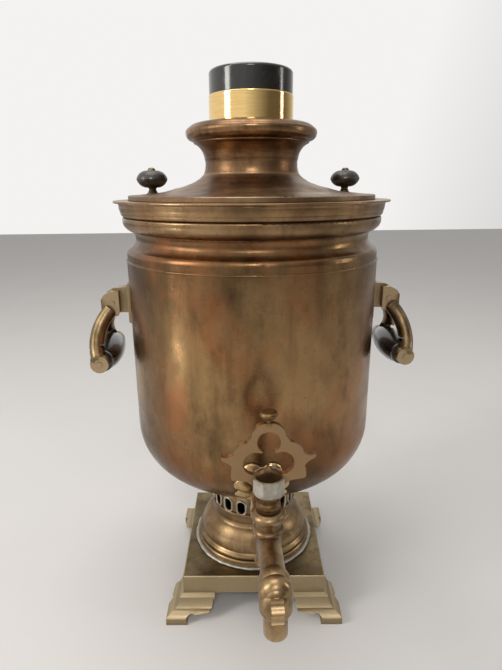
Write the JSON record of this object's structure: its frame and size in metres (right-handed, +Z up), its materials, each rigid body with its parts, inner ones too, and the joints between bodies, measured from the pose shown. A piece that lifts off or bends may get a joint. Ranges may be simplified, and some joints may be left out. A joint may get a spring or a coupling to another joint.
{
  "type": "samovar",
  "caption": "Charcoal samovar: straight-sided jar round a fire tube, pierced pedestal on a square footed base, lift-off lid, crown and cap, side handles, tap with a turning key.",
  "frame": {"origin": "on the table, under the axis of the jar", "axes": "+Z up along the jar's axis, -Y towards the tap and the user, +X towards the handle on the user's right"},
  "size_m": [0.2884, 0.3304, 0.47],
  "materials": {
    "aged_brass": "old brass, brown patina",
    "base_brass": "olive cast brass, worn edges",
    "crown_brass": "reddish old brass",
    "key_brass": "cast brass, worn bright",
    "handle_brass": "cast brass, dull",
    "solder_grey": "dull grey solder",
    "tube_steel": "tinned and sooted",
    "grate_iron": "rough cast",
    "black_wood": "black stained and polished",
    "cap_black": "glossy black",
    "cap_gold": "mirror-polished gold colour"
  },
  "bodies": {
    "samovar": {"base_plate": "base_brass", "foot_front_left": "base_brass", "foot_front_right": "base_brass", "foot_rear_right": "base_brass", "foot_rear_left": "base_brass", "solder_ring": "solder_grey", "pedestal": "base_brass", "grate": "grate_iron", "body_shell": "aged_brass", "fire_tube": "tube_steel", "rim_ring": "aged_brass", "tap_escutcheon": "key_brass", "tap_body": "key_brass", "handle_bracket_right": "handle_brass", "handle_pin_right": "handle_brass", "grip_rod_right": "tube_steel", "handle_arm_right_front": "handle_brass", "handle_arm_right_rear": "handle_brass", "handle_bracket_left": "handle_brass", "handle_pin_left": "handle_brass", "grip_rod_left": "tube_steel", "handle_arm_left_front": "handle_brass", "handle_arm_left_rear": "handle_brass"},
    "tap_key": {"tap_plug": "key_brass", "tap_washer": "key_brass", "tap_key_collar": "solder_grey", "tap_key_plate": "key_brass"},
    "lid": {"lid_shell": "crown_brass", "lid_flange": "aged_brass", "lid_knob_right": "black_wood", "lid_knob_bolt_right": "handle_brass", "lid_knob_nut_right": "handle_brass", "lid_knob_left": "black_wood", "lid_knob_bolt_left": "handle_brass", "lid_knob_nut_left": "handle_brass", "vent_seat": "handle_brass"},
    "vent_cap": {"vent_cap": "handle_brass"},
    "crown": {"crown_ring": "crown_brass", "crown_sleeve": "tube_steel"},
    "cap": {"cap_band": "cap_gold", "cap_top": "cap_black"},
    "grip_right": {"grip_right": "black_wood"},
    "grip_left": {"grip_left": "black_wood"}
  },
  "joints": [
    {"name": "tap_key_turn", "type": "hinge", "parent": "samovar", "child": "tap_key", "pos_m": [0, -0.156, 0.156], "axis": [0, 0, 1], "continuous": true},
    {"name": "lid_lift", "type": "slide", "parent": "samovar", "child": "lid", "axis": [0, 0, 1], "range_m": [0, 0.12]},
    {"name": "vent_cap_lift", "type": "slide", "parent": "lid", "child": "vent_cap", "axis": [0, 0, 1], "range_m": [0, 0.02]},
    {"name": "crown_lift", "type": "slide", "parent": "lid", "child": "crown", "axis": [0, 0, 1], "range_m": [0, 0.08]},
    {"name": "cap_lift", "type": "slide", "parent": "crown", "child": "cap", "axis": [0, 0, 1], "range_m": [0, 0.08]},
    {"name": "grip_right_spin", "type": "hinge", "parent": "samovar", "child": "grip_right", "pos_m": [0.131, 0, 0.2405], "axis": [0, 1, 0], "continuous": true},
    {"name": "grip_left_spin", "type": "hinge", "parent": "samovar", "child": "grip_left", "pos_m": [-0.131, 0, 0.2405], "axis": [0, 1, 0], "continuous": true}
  ]
}
